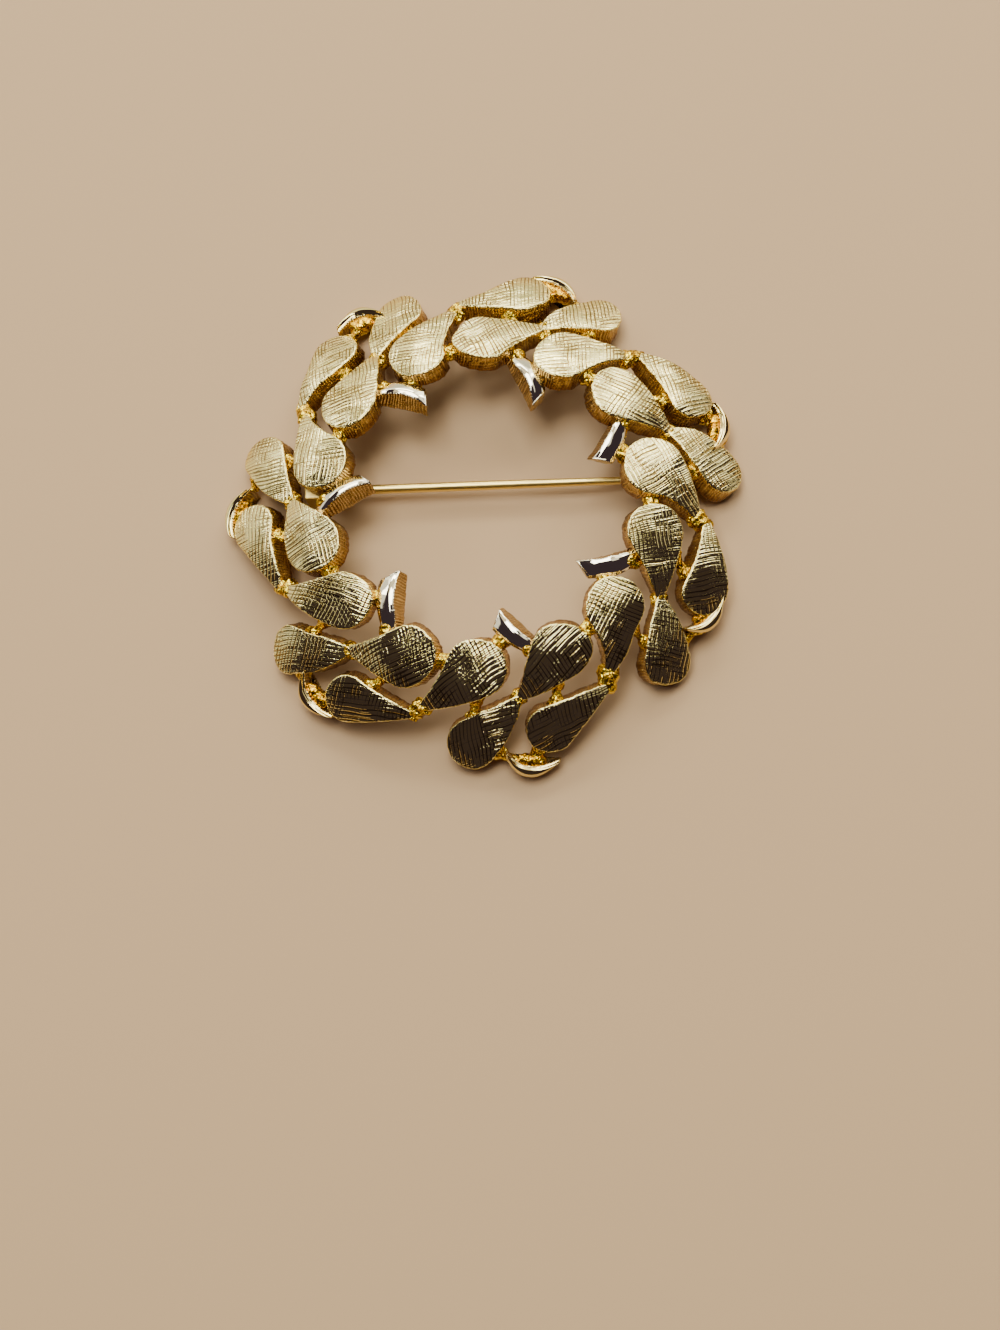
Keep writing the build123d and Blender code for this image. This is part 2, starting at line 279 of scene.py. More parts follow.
# Lights: name, place, width, height, radiance and colour
LAMPS = [
    ("Low window", (0.0, 0.84, 0.15), 1.5, 0.32, 0.90, (1.0, 0.96, 0.72)),
    ("Window", (0.0, 0.74, 0.41), 1.5, 0.30, 2.1, SKY),
    ("Upper window", (0.0, 0.44, 0.64), 0.9, 0.34, 1.0, (1.0, 0.88, 0.60)),
    ("Window core", (-0.06, 0.68, 0.50), 0.56, 0.14, 11.0, DAYLIGHT),
    ("Overhead", (-0.06, 0.19, 0.67), 0.42, 0.34, 9.0, (1.0, 0.97, 0.90)),
    ("Left box", (-0.75, 0.37, 0.24), 0.84, 0.52, 1.05, (1.0, 0.95, 0.82)),
    ("Left core", (-0.64, 0.43, 0.42), 0.20, 0.12, 8.0, DAYLIGHT),
    ("Spark", (-0.18, -0.06, 0.72), 0.16, 0.12, 8.0, (1.0, 0.97, 0.92)),
    ("Right box", (0.43, 0.58, 0.42), 0.34, 0.80, 1.7, (1.0, 0.94, 0.80)),
    ("Right core", (0.45, 0.56, 0.50), 0.12, 0.30, 8.0, DAYLIGHT),
    ("Low right box", (0.85, 0.14, 0.16), 0.36, 0.20, 1.0, (1.0, 0.92, 0.78)),
    ("High right box", (0.30, 0.10, 0.68), 0.34, 0.20, 1.3, SKY),
]

# Camera: the photographed brooch leans on its pin fittings towards the camera, and this one
# lies flat, so the camera carries the lean and the roll
CAMERA_TARGET = Vector((1.49, -15.90, 6.35)) * MM
CAMERA_DISTANCE = 200.0 * MM
CAMERA_AZIMUTH = 18.5
CAMERA_ELEVATION = 74.21
CAMERA_ROLL = -19.52
CAMERA_LENS = 79.8
CAMERA_NEAR = 5.0 * MM


def metres(name, default, description):
    return FloatProperty(name=name, description=description, default=default, unit="LENGTH")


def colour(name, default, description):
    return FloatVectorProperty(
        name=name, description=description, default=default, subtype="COLOR")


class BroochSizes(PropertyGroup):
    grid: metres("Grid", 0.11 * MM, "Spacing of the mesh's points on a leaf")
    rim: metres("Rim", 0.13 * MM, "Radius of the polished edge round each face")
    dent: metres("Dents", 0.12 * MM, "Height of the hand-finished faces' unevenness")
    dent_size: metres("Dent size", 2.6 * MM, "Width of a dent")
    warp: metres("Warp", 0.9 * MM, "How far the hand-set casting strays from its plan")
    warp_size: metres("Warp size", 5.0 * MM, "Distance over which the casting strays one way")
    wall_relief: metres("Wall relief", 0.34 * MM, "Depth of the furrows in the cast walls")
    furrow: metres("Furrow width", 0.45 * MM, "Width of a furrow in the cast walls")
    bar_fall: metres("Bar fall", 0.17 * MM, "Fall of an inner bar's face to its sides")
    rim_bar_fall: metres("Outer bar fall", 0.28 * MM, "Fall of an outer bar's face to its sides")
    rim_bar_side: metres("Outer bar side", 1.25 * MM, "Depth at which its sides turn upright")
    web_spread: metres("Web spread", 0.55 * MM, "How far solder spreads from a wall along a tie")
    solder_grid: metres("Solder grid", 0.12 * MM, "Spacing of the mesh's points on the solder")
    hatch_pitch: metres("Hatch pitch", 0.38 * MM, "Distance between two engraved lines")
    hatch_depth: metres("Hatch depth", 0.038 * MM, "Depth of an engraved line")
    hatch_patch: metres("Hatch patch", 3.0 * MM, "Size of a patch of hatch in one direction")
    seed: IntProperty(name="Seed", description="Start of the hatch's random turns", default=3)


class BroochColours(PropertyGroup):
    face: colour("Face", (0.95, 0.83, 0.31), "Pale gold of the engraved faces")
    fresh: colour("Fresh cut", (0.97, 0.87, 0.43), "Paler gold at the sides of a cut line")
    wall: colour("Wall", (0.95, 0.70, 0.22), "Deeper gold of the cast walls")
    bar_wall: colour("Bar wall", (0.93, 0.71, 0.31), "Gold of the polished bars' filed sides")
    solder: colour("Solder", (0.98, 0.72, 0.06), "Rich gold of the solder")
    polished: colour("Inner bar", (0.94, 0.88, 0.68), "Bright plating of the inner bars")
    rim_bar: colour("Outer bar", (0.92, 0.76, 0.32), "Yellower plating of the outer bars")
    # Deeper orange than the solder: a painted glow of the gold reflected in the outer bars'
    # hollows
    cup_and_glow: colour("Cups", (1.0, 0.60, 0.02), "Solder in the hollow of the outer bars")
    stem: colour("Pin", (0.90, 0.69, 0.22), "Gold of the pin, hinge and catch")
    floor: colour("Floor", (0.58, 0.392, 0.213), "Pale floor")


def sizes():
    return bpy.context.scene.brooch_sizes


def colours():
    return bpy.context.scene.brooch_colours


def dome_height(radius):
    return DOME_CENTRE.z + sqrt(DOME_R**2 - radius**2)


def dome_point(place, depth=0.0):
    """The place's point, at the given depth under its face along the dome's radius."""
    radius = place.share * RING_R
    angle = radians(FIRST_SPRAY - place.turn * STEP)
    on_dome = Vector((radius * cos(angle), radius * sin(angle), dome_height(radius)))
    inward = (DOME_CENTRE - on_dome).normalized()
    return on_dome + inward * depth - Vector((0, 0, place.sink))


def moved(place, turn, out=0.0):
    """The place turned clockwise by degrees and moved out."""
    return Place(place.share + out / RING_R, place.turn + turn / STEP, place.sink)


def seat(origin, along, up):
    """Matrix that puts a form drawn on XY at origin, with X along and Z up."""
    across = up.cross(along)
    matrix = Matrix((along, across, up)).transposed().to_4x4()
    matrix.translation = origin
    return matrix


def squared(vector, direction):
    """Direction of the vector's part that stands at a right angle to a direction."""
    return (vector - direction * vector.dot(direction)).normalized()


def spray_turn(number):
    return Matrix.Rotation(radians(-STEP * number), 4, "Z")


def crown(middle_x, crown_r):
    """Height of a face rounded like a ball above middle_x."""
    def height(x, y, across):
        return FACE_RISE - crown_r + sqrt(max(crown_r**2 - (x - middle_x)**2 - y**2, 0.0))
    return height


def bar_crown(middle_x, crown_r, fall):
    """Height of a bar's face, which also falls off to its two sides."""
    along = crown(middle_x, crown_r)

    def height(x, y, across):
        return along(x, 0.0, 0.0) - fall * across**BAR_FALL_POWER
    return height


def shares(count):
    return [i / count for i in range(count + 1)]


def bowed(start, end, bow, count):
    """Points from start to end on a line that swells to its right by bow."""
    start, end = Vector(start), Vector(end)
    across = (end - start).normalized()
    right = Vector((across.y, -across.x))
    return [start.lerp(end, t) + right * (4 * bow * t * (1 - t)) for t in shares(count)]


def arc(centre, radius, start, end, count):
    """Points on a round stretch between two directions in radians."""
    turns = [start + (end - start) * i / count for i in range(count + 1)]
    return [Vector((centre + radius * cos(a), radius * sin(a))) for a in turns]


def three_point_arc(start, middle, end, count):
    """Points on the shallow arc from start to end that passes middle."""
    start, middle, end = Vector(start), Vector(middle), Vector(end)
    chord = end - start
    share = (middle - start).dot(chord) / chord.length_squared
    rise = (middle - start - chord * share) / (4 * share * (1 - share))
    return [start + chord * t + rise * (4 * t * (1 - t)) for t in shares(count)]


def leaf_sides(leaf, length):
    """The leaf's two sides, from the back of its round end to its tip, left and right."""
    end_r = leaf.width / 2
    spread = acos((end_r - LEAF_TIP_R) / length)
    grid = sizes().grid
    side_l = sqrt(length**2 - (end_r - LEAF_TIP_R)**2)
    c, s = cos(spread), sin(spread)
    sides = []
    for hand, bow in ((1, leaf.left_bow), (-1, leaf.right_bow)):
        back = arc(0, end_r, hand * pi, hand * spread, round((pi - spread) * end_r / grid))
        start = (end_r * c, hand * end_r * s)
        end = (length + LEAF_TIP_R * c, hand * LEAF_TIP_R * s)
        side = bowed(start, end, -hand * bow * leaf.width, round(side_l / grid))
        tip = arc(length, LEAF_TIP_R, hand * spread, 0, LEAF_TIP_STEPS)
        sides.append(back + side[1:] + tip[1:])
    return sides


def slab(left, right, height, depth, matrix, columns, upright_from=None):
    """Closed solid with a grid on its face, a rounded rim, ringed walls and a flat underside.

    left and right are its sides on XY, point by point. Its underside never reaches below the
    floor, and below the depth upright_from its walls drop straight down. Its points know
    whether they are on the wall, and how deep and how far along.
    """
    rim = sizes().rim
    rows = len(left)

    def floor_at(spot):
        return -(matrix @ spot.to_3d()).z / matrix.col[2].z

    loop = [(i, 0) for i in range(rows)] + [(rows - 1, j) for j in range(1, columns)]
    loop += [(i, columns) for i in reversed(range(rows))]
    loop += [(0, j) for j in reversed(range(1, columns))]
    edge = [left[i].lerp(right[i], j / columns) for i, j in loop]
    kept = [k for k in range(len(edge)) if (edge[k] - edge[k - 1]).length > rim * SHORT_EDGE]
    loop = [loop[k] for k in kept]
    edge = [edge[k] for k in kept]
    area = sum(edge[k - 1].cross(edge[k]) for k in range(len(edge)))
    turn = 1 if area > 0 else -1
    outward = []
    for k in range(len(edge)):
        way = (edge[(k + 1) % len(edge)] - edge[k - 1]).normalized()
        outward.append(Vector((way.y, -way.x)) * turn)
    runs = [0.0]
    for here, after in zip(edge, edge[1:]):
        runs.append(runs[-1] + (after - here).length)
    bases = [e - n * rim for e, n in zip(edge, outward)]
    inset = dict(zip(loop, bases))
    for i in (0, rows - 1):
        if (left[i] - right[i]).length <= rim * SHORT_EDGE:
            tip = next(ij for ij in loop if ij[0] == i)
            inset.update({(i, j): inset[tip] for j in range(columns + 1)})

    bm = bmesh.new()
    wall, deep, run = (bm.verts.layers.float.new(name) for name in ("wall", "deep", "run"))

    def point(spot, z, share, down=0.0, along=0.0):
        place = matrix @ Vector((*spot, z))
        if upright_from and z < -upright_from:
            place.xy = (matrix @ Vector((*spot, -upright_from))).xy
        vert = bm.verts.new(place)
        vert[wall], vert[deep], vert[run] = share, down, along
        return vert

    def cover(*corners):
        bm.faces.new(corners if turn < 0 else corners[::-1])

    def face_height(spot, j):
        return height(spot.x, spot.y, 2 * j / columns - 1)

    face = {}
    for i in range(rows):
        for j in range(columns + 1):
            spot = inset.get((i, j), inset[(i, 0)].lerp(inset[(i, columns)], j / columns))
            face[(i, j)] = point(spot, face_height(spot, j), 0.0)
    for i in range(rows - 1):
        for j in range(columns):
            cover(face[(i, j)], face[(i + 1, j)], face[(i + 1, j + 1)], face[(i, j + 1)])

    tops = [face_height(base, j) for base, (_, j) in zip(bases, loop)]
    rings = [[face[ij] for ij in loop]]
    for k, angle in enumerate(RIM_ANGLES, 1):
        share, fall = k / (len(RIM_ANGLES) + 1), rim * (1 - cos(angle))
        rings.append([point(base + n * rim * sin(angle), top - fall, share, 0.0, along)
                      for base, n, top, along in zip(bases, outward, tops, runs)])
    for step in range(1, WALL_RINGS + 1):
        share = min(step / (WALL_RINGS - 1), 1.0)
        ring = []
        for spot, n, face_z, along in zip(edge, outward, tops, runs):
            z = face_z - rim
            if step < WALL_RINGS:
                bottom = max(-depth, floor_at(spot))
                z += (bottom + rim * FOOT_INSET - z) * share
            else:
                spot = spot - n * (rim * FOOT_INSET)
                z = max(-depth, floor_at(spot))
            ring.append(point(spot, z, 1.0, share, along))
        rings.append(ring)
    for last, ring in zip(rings, rings[1:]):
        for k in range(len(ring)):
            cover(last[k - 1], last[k], ring[k], ring[k - 1])
    cover(*rings[-1])
    bmesh.ops.remove_doubles(bm, verts=bm.verts, dist=WELD)
    bmesh.ops.recalc_face_normals(bm, faces=bm.faces)
    return bm


def mesh_object(name, forms):
    """One object from several closed forms, shaded smooth."""
    mesh = bpy.data.meshes.new(name)
    whole = bmesh.new()
    for form in forms:
        part = bpy.data.meshes.new("part")
        form.to_mesh(part)
        form.free()
        whole.from_mesh(part)
        bpy.data.meshes.remove(part)
    whole.to_mesh(mesh)
    whole.free()
    mesh.shade_smooth()
    piece = bpy.data.objects.new(name, mesh)
    bpy.context.scene.collection.objects.link(piece)
    return piece


def label(mesh, name, number):
    """Gives every point of the mesh the same number under a name."""
    attribute = mesh.attributes.new(name, "FLOAT", "POINT")
    attribute.data.foreach_set("value", np.full(len(mesh.vertices), number, np.float32))


def wrapped(rings):
    """Closed solid from rings of points, where the last ring meets the first one again."""
    bm = bmesh.new()
    rings = [[bm.verts.new(spot) for spot in ring] for ring in rings]
    for i, ring in enumerate(rings):
        for k in range(len(ring)):
            bm.faces.new([rings[i - 1][k - 1], rings[i - 1][k], ring[k], ring[k - 1]])
    bmesh.ops.remove_doubles(bm, verts=bm.verts, dist=WELD)
    bmesh.ops.recalc_face_normals(bm, faces=bm.faces)
    return bm


def turned(profile, centre, axis, sides):
    """Closed ring or solid: a closed profile of (along, radius) points turned about an axis."""
    along = axis.normalized()
    aside = along.orthogonal().normalized()
    across = along.cross(aside)
    outs = [aside * cos(tau * i / sides) + across * sin(tau * i / sides) for i in range(sides)]
    return wrapped([[centre + along * x + out * r for x, r in profile] for out in outs])


def rod(start, end, radii):
    """Closed rod from start to end whose radius follows the list of radii."""
    length = (end - start).length
    profile = [(length * t, radius) for t, radius in zip(shares(len(radii) - 1), radii)]
    return turned([(0.0, 0.0), *profile, (length, 0.0)], start, end - start, ROD_SIDES)


def lump(centre, radius, flat=1.0):
    """Round drop of solder."""
    bm = bmesh.new()
    bmesh.ops.create_icosphere(bm, subdivisions=3, radius=radius)
    for vert in bm.verts:
        vert.co = centre + Vector((vert.co.x, vert.co.y, vert.co.z * flat))
    return bm


class Value:
    """A node's output that takes part in sums, so that node trees read like formulas."""

    def __init__(self, node, key=0):
        self.tree = node.id_data
        self.socket = node.outputs[key]

    def __add__(self, other):
        return calc("ADD", self, other)

    def __sub__(self, other):
        return calc("SUBTRACT", self, other)

    def __mul__(self, other):
        return calc("MULTIPLY", self, other)

    def __truediv__(self, other):
        return calc("DIVIDE", self, other)

    def __rtruediv__(self, other):
        return calc("DIVIDE", other, self)


def feed(socket, value):
    """Links a value to a node's input, or sets the input to a plain number, text or colour."""
    if isinstance(value, Value):
        socket.id_data.links.new(value.socket, socket)
    else:
        socket.default_value = value


def add(tree, kind, inputs=(), **settings):
    """Adds a node with its settings, and feeds its inputs by name or in order."""
    node = tree.nodes.new(kind)
    for name, setting in settings.items():
        setattr(node, name, setting)
    for key, number in inputs.items() if isinstance(inputs, dict) else enumerate(inputs):
        feed(node.inputs[key], number)
    return node


def value(tree, kind, inputs=(), output=0, **settings):
    """Adds a node and hands back one of its outputs."""
    return Value(add(tree, kind, inputs, **settings), output)


def tree_of(values):
    return next(one.tree for one in values if isinstance(one, Value))


def calc(operation, *values):
    return value(tree_of(values), "ShaderNodeMath", values, operation=operation)


def vectors(operation, *values):
    return value(tree_of(values), "ShaderNodeVectorMath", values, operation=operation)


def lengthened(vector, factor):
    inputs = {0: vector, "Scale": factor}
    return value(vector.tree, "ShaderNodeVectorMath", inputs, operation="SCALE")


def combine(x, y, z):
    return value(tree_of((x, y, z)), "ShaderNodeCombineXYZ", (x, y, z))


def smooth(share, low, high, start=0.0, end=1.0):
    """Smooth step from start to end as share goes from low to high."""
    inputs = (share, low, high, start, end)
    return value(share.tree, "ShaderNodeMapRange", inputs, interpolation_type="SMOOTHSTEP")


def noise(vector, scale, detail, output=0):
    inputs = {"Vector": vector, "Scale": scale, "Detail": detail}
    return value(vector.tree, "ShaderNodeTexNoise", inputs, output)


def chance(source, dimensions="1D"):
    """Random number from 0 to 1 that is always the same for the same source."""
    inputs = {"W" if dimensions == "1D" else "Vector": source}
    return value(source.tree, "ShaderNodeTexWhiteNoise", inputs, noise_dimensions=dimensions)


def mix(factor, first, second):
    inputs = {"Factor": factor, "A": first, "B": second}
    return value(factor.tree, "ShaderNodeMix", inputs, "Result")


def tint(factor, first, second, blend="MIX"):
    """The first colour blended with the second, each a value or a plain colour."""
    first, second = (c if isinstance(c, Value) else (*c, 1) for c in (first, second))
    inputs = {"Factor": factor, "A": first, "B": second}
    return value(
        factor.tree, "ShaderNodeMix", inputs, "Result", data_type="RGBA", blend_type=blend)


FLOAT, VECTOR, GEOMETRY = "NodeSocketFloat", "NodeSocketVector", "NodeSocketGeometry"


def node_group(name, kind, inputs, outputs):
    """New node group: its tree, its named input values and its output sockets."""
    tree = bpy.data.node_groups.new(name, kind)
    for title, socket in inputs.items():
        tree.interface.new_socket(title, in_out="INPUT", socket_type=socket)
    for title, socket in outputs.items():
        tree.interface.new_socket(title, in_out="OUTPUT", socket_type=socket)
    source = add(tree, "NodeGroupInput")
    values = {title: Value(source, title) for title in inputs}
    return tree, values, add(tree, "NodeGroupOutput").inputs


def relief(geometry, ins):
    """Strays from the plan, dents the faces, furrows the walls and stays above the floor."""
    tree = geometry.tree
    wall = value(tree, "GeometryNodeInputNamedAttribute", {"Name": "wall"}, data_type="FLOAT")
    place = value(tree, "GeometryNodeInputPosition")
    normal = value(tree, "GeometryNodeInputNormal")
    dent = (noise(place, 1.0 / ins["Dent size"], 1.0) - 0.5) * ins["Dent"]
    upright = vectors("MULTIPLY", place, RELIEF_STRETCH)
    furrow = noise(upright, 1.0 / ins["Furrow"], 2.0) - RELIEF_LEVEL
    offset = lengthened(normal, furrow * ins["Wall relief"] * wall + dent)
    stray = noise(place, 1.0 / ins["Warp size"], 0.0, "Color")
    stray = lengthened(vectors("SUBTRACT", stray, (0.5, 0.5, 0.5)), ins["Warp"])
    goal = vectors("ADD", place, vectors("ADD", vectors("MULTIPLY", stray, FLAT), offset))
    above = vectors("MAXIMUM", goal, (-1.0, -1.0, 0.0))
    return value(tree, "GeometryNodeSetPosition", {"Geometry": geometry, "Position": above})


def spray_tree():
    """Repeats one spray's forms round the axis, numbers them and works their surface."""
    tree, ins, outs = node_group("Sprays round the ring", "GeometryNodeTree", {
        "Geometry": GEOMETRY, "Count": "NodeSocketInt", "Step": FLOAT, "Warp": FLOAT,
        "Warp size": FLOAT, "Dent": FLOAT, "Dent size": FLOAT, "Wall relief": FLOAT,
        "Furrow": FLOAT, "Material": "NodeSocketMaterial"}, {"Geometry": GEOMETRY})
    marks = value(
        tree, "GeometryNodeMeshLine", {"Count": ins["Count"], "Offset": (0, 0, 0)}, mode="OFFSET")
    number = value(tree, "GeometryNodeInputIndex")
    copies = value(tree, "GeometryNodeInstanceOnPoints", {
        "Points": marks, "Instance": ins["Geometry"],
        "Rotation": combine(0.0, 0.0, number * ins["Step"])})
    numbered = value(
        tree, "GeometryNodeStoreNamedAttribute",
        {"Geometry": copies, "Name": "spray", "Value": number},
        data_type="FLOAT", domain="INSTANCE")
    real = value(tree, "GeometryNodeRealizeInstances", (numbered,))
    feed(outs[0], value(tree, "GeometryNodeSetMaterial", {
        "Geometry": relief(real, ins), "Material": ins["Material"]}))
    return tree


def settle(piece):
    """Gives the piece the plain mesh that its modifiers make of it, and removes them."""
    bpy.context.view_layer.update()
    depsgraph = bpy.context.evaluated_depsgraph_get()
    mesh = bpy.data.meshes.new_from_object(
        piece.evaluated_get(depsgraph), preserve_all_data_layers=True, depsgraph=depsgraph)
    piece.modifiers.clear()
    piece.data = mesh
    mesh.name = piece.name


def cast(piece, material, count, dent=1.0, relief=1.0):
    """Repeats a piece of the wreath round the ring, works its surface and finishes it."""
    tree = bpy.data.node_groups.get("Sprays round the ring") or spray_tree()
    values = {
        "Count": count, "Step": -radians(STEP), "Material": material,
        "Warp": sizes().warp, "Warp size": sizes().warp_size,
        "Dent": sizes().dent * dent, "Dent size": sizes().dent_size,
        "Wall relief": sizes().wall_relief * relief, "Furrow": sizes().furrow,
    }
    modifier = piece.modifiers.new("Nodes", "NODES")
    modifier.node_group = tree
    for socket in tree.interface.items_tree:
        if socket.in_out == "INPUT" and socket.name in values:
            modifier[socket.identifier] = values[socket.name]
    settle(piece)
    finish_piece(piece, "wreath", "gold_plate", "wreath")


def hatch_group():
    """Engraved hatch: straight lines in two directions that change over in patches."""
    inputs = {"Place": VECTOR, "Leaf": FLOAT, "Pitch": FLOAT, "Patch": FLOAT}
    tree, ins, outs = node_group("Engraved hatch", "ShaderNodeTree", inputs, {"Lines": FLOAT})
    leaf = ins["Leaf"]
    split = add(tree, "ShaderNodeSeparateXYZ", (ins["Place"],))
    x, y = Value(split, 0), Value(split, 1)
    sway = noise(ins["Place"], HATCH_SCALE, 0.0)

    def lines(angle, cut):
        c, s = calc("COSINE", angle), calc("SINE", angle)
        across, along = x * c + y * s, y * c - x * s
        k = across / ins["Pitch"] * cut.finer + sway * HATCH_SWAY
        cell = calc("FLOOR", k)
        off = calc("ABSOLUTE", calc("FRACT", k) - 0.5)
        groove = smooth(off, 0.0, cut.width, 1.0, 0.0)
        strength = chance(combine(cell, leaf + cut.seed, 0.0), "2D") * 0.5 + 0.5
        spot = combine(cell * CELL_STEP, along * HATCH_SCALE, leaf + cut.seed)
        return groove * strength * smooth(noise(spot, 1.0, 1.0), cut.broken, cut.whole, 0.1, 1.0)

    patch = noise(combine(x, y, leaf * LEAF_STEPS[0]), 1.0 / ins["Patch"], 1.0)
    lean = chance(leaf) * LEAN[1] + LEAN[0]
    first = lines(lean, FIRST_CUT) * smooth(patch, *FIRST_FADE)
    second = lines(lean + CROSSING, SECOND_CUT) * smooth(patch, *SECOND_FADE)
    faint = lines(lean, FAINT_CUT) * FAINT_DEPTH
    pressure = noise(combine(y, leaf * LEAF_STEPS[1], x), HATCH_SCALE, 1.0)
    deepest = calc("MAXIMUM", calc("MAXIMUM", first, second), faint)
    feed(outs["Lines"], deepest * smooth(pressure, *PRESSURE))
    return tree


def wall_group():
    """Side wall: even file strokes from top to bottom, cast furrows and fibres, and grain."""
    inputs = {"Place": VECTOR, "Run": FLOAT, "Stroke": FLOAT, "Filed": FLOAT, "Furrow": FLOAT}
    outputs = {"Height": FLOAT, "Strokes": FLOAT}
    tree, ins, outs = node_group("Side wall", "ShaderNodeTree", inputs, outputs)
    place = ins["Place"]
    k = ins["Run"] / ins["Stroke"] + noise(place, FILE_SWAY[0], 1.0) * FILE_SWAY[1]
    ridge = calc("ABSOLUTE", calc("FRACT", k) - 0.5)
    strength = chance(calc("FLOOR", k)) * FILE_STRENGTH[1] + FILE_STRENGTH[0]
    filed = smooth(ridge, 0.0, 0.5) * strength
    fine = 1.0 / ins["Furrow"]
    furrows = noise(vectors("MULTIPLY", place, FURROW_STRETCH), fine, 2.0)
    fibres = noise(vectors("MULTIPLY", place, FIBRE_STRETCH), fine, 2.0)
    patch = noise(place, fine * CAST_PATCH[0], 0.0)
    rough = mix(smooth(patch, *CAST_PATCH[1:]), furrows, fibres)
    grain = noise(place, fine * CAST_GRAIN[0], 1.0) * CAST_GRAIN[1]
    feed(outs["Height"], grain + mix(ins["Filed"], rough, filed * FILE_DEPTH))
    feed(outs["Strokes"], mix(ins["Filed"], smooth(rough, *HOLLOW), smooth(filed, *VALLEY)))
    return tree


def shared(tree, maker, name, inputs):
    """The named shader group, made when it is first asked for, with its inputs fed."""
    return add(
        tree, "ShaderNodeGroup", inputs, node_tree=bpy.data.node_groups.get(name) or maker())


def new_material(name):
    material = bpy.data.materials.new(name)
    material.use_nodes = True
    return material, material.node_tree.nodes["Principled BSDF"]


def metal(name):
    """New metallic material: itself, its shader and the place on the object."""
    material, shader = new_material(name)
    shader.inputs["Metallic"].default_value = 1.0
    return material, shader, value(material.node_tree, "ShaderNodeTexCoord", output="Object")


def emboss(shader, height, distance):
    inputs = {"Distance": distance, "Height": height}
    feed(shader.inputs["Normal"], value(shader.id_data, "ShaderNodeBump", inputs))


def plating(name, face, side, face_rough, wall_rough=0.20, grain=0.36 * MM, filed=0.6,
            grime_and_shade=1.0, hatched=False):
    """Gold plate: its face engraved or polished, its rim bright, and its walls rough and deep and
    darkened towards their feet by grime and painted shade.
    """
    material, shader, place = metal(name)
    tree = material.node_tree

    def mark(title):
        return value(tree, "ShaderNodeAttribute", output="Fac", attribute_name=title)

    on_wall = smooth(mark("wall"), 0.5, 1.0)
    # Painted shade mixed with grime: darker towards each wall's foot and the underside, with a
    # wandering edge
    grime_and_shade_mask = smooth(noise(place, SMUDGE[0], 2.0) * SMUDGE[1] + mark("deep"), *GRIME_AND_SHADE_RANGE)
    colour = tint(grime_and_shade_mask * grime_and_shade, tint(on_wall, face, side), GRIME_AND_SHADE_TINT, "MULTIPLY")
    rough = on_wall * (wall_rough - face_rough) + face_rough
    rough = (noise(place, STAIN[0], 3.0) - 0.5) * STAIN[1] + rough
    feed(shader.inputs["Roughness"], calc("MAXIMUM", rough, SMOOTHEST))
    sides = shared(tree, wall_group, "Side wall", {
        "Place": place, "Run": mark("run"), "Stroke": FILE_STROKE, "Filed": filed,
        "Furrow": CAST_FURROW})
    height = Value(sides, "Height") * (on_wall * grain)
    dark = Value(sides, "Strokes") * on_wall * (DARKNESS[0] - DARKNESS[1] * filed)
    colour = tint(dark, colour, STROKE_TINT, "MULTIPLY")
    if hatched:
        leaf = mark("leaf_kind") * KIND_STEP + mark("spray") + float(sizes().seed)
        hatch = shared(tree, hatch_group, "Engraved hatch", {
            "Place": place, "Leaf": leaf, "Pitch": sizes().hatch_pitch,
            "Patch": sizes().hatch_patch})
        cut = Value(hatch, "Lines") * smooth(mark("wall"), 0.0, 0.5, 1.0, 0.0)
        height = height - cut * sizes().hatch_depth
        colour = tint(smooth(cut, *FRESH_RANGE), colour, colours().fresh)
        colour = tint(smooth(cut, *TARNISH_RANGE), colour, TARNISH_TINT, "MULTIPLY")
    scale, rise = MOTTLE if hatched else RIPPLE
    feed(shader.inputs["Base Color"], colour)
    emboss(shader, noise(place, scale, 1.0) * rise + height, 1.0)
    return material


def plain_gold(name, rough, grain):
    """Gold of the wire and fittings, with faint drawing marks."""
    material, shader, place = metal(name)
    shader.inputs["Base Color"].default_value = (*colours().stem, 1)
    marks = noise(vectors("MULTIPLY", place, DRAWN_STRETCH), DRAWN_SCALE, 2.0)
    wear = noise(place, WEAR[0], 2.0)
    feed(shader.inputs["Roughness"], wear * WEAR[1] + (rough - WEAR[1] / 2))
    emboss(shader, marks + wear, grain)
    return material


def finish_piece(piece, body, slot, *nodes):
    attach(piece, body)
    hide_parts(*nodes)


def leaf_form(leaf):
    """One leaf of the first spray in its place."""
    start, end = dome_point(leaf.round_end), dome_point(leaf.tip)
    along = (end - start).normalized()
    outward = ((start + end) / 2 - DOME_CENTRE).normalized()
    up = squared(outward, along)
    length = (end - start).length
    left, right = leaf_sides(leaf, length)
    columns = round(leaf.width / sizes().grid)
    height = crown((length - leaf.width / 2) / 2, LEAF_CROWN_R)
    return slab(left, right, height, LEAF_T, seat(start, along, up), columns)


class BROOCH_OT_leaves(Operator):
    """Makes the engraved leaves, one piece for each of the spray's four leaves"""

    bl_idname = "brooch.leaves"
    bl_label = "Leaves"

    def execute(self, context):
        gold = plating(
            "Engraved gold", colours().face, colours().wall, face_rough=0.11, hatched=True)
        for kind, leaf in enumerate(LEAVES):
            piece = mesh_object(f"{leaf.name}_leaves", [leaf_form(leaf)])
            label(piece.data, "leaf_kind", kind)
            cast(piece, gold, SPRAYS)
        return {"FINISHED"}


